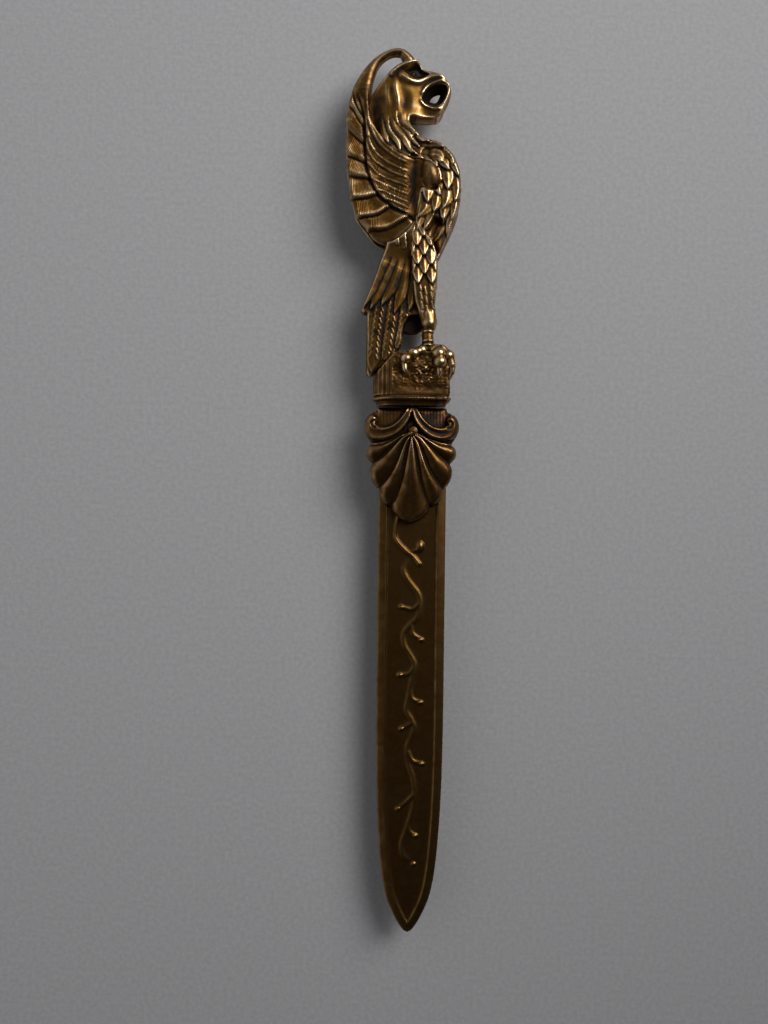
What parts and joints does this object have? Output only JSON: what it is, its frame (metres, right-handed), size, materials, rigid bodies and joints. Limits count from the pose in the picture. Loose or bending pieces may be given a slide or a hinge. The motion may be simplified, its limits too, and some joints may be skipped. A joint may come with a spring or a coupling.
{
  "type": "letter opener",
  "caption": "Cast paper knife whose handle is a standing eagle with swept-up wings, on a rock plinth, moulded collar and palmette guard; the flat blade bears a vine in relief.",
  "frame": {"origin": "under the middle of the box, on the surface that the knife lies on", "axes": "+Y along the blade's length, from its point to the eagle's head; +X across the blade, to the side the eagle faces; +Z through the thickness, out of the front face"},
  "size_m": [0.0318, 0.2292, 0.0152],
  "materials": {
    "figure": "worn golden bronze, polished on the high edges, dark brown in the recesses",
    "guard": "bronze with an olive-brown patina, bright along its ridges",
    "blade": "smooth dark brown bronze, lightly rubbed on the raised border and the vine",
    "pin": "plain bright brass"
  },
  "bodies": {
    "root": {"blade": "blade", "guard_front": "guard", "guard_back": "guard", "guard_rivet": "pin", "collar": "guard", "plinth": "guard", "tang_pin": "pin", "foot_pin_right": "pin", "foot_pin_left": "pin", "leg_right": "figure", "leg_left": "figure", "hip_pin": "pin", "tail": "figure", "tail_pin": "pin", "body": "figure", "wing_right": "figure", "wing_left": "figure", "wing_pin": "pin", "head": "figure", "neck_pin": "pin"}
  },
  "joints": []
}
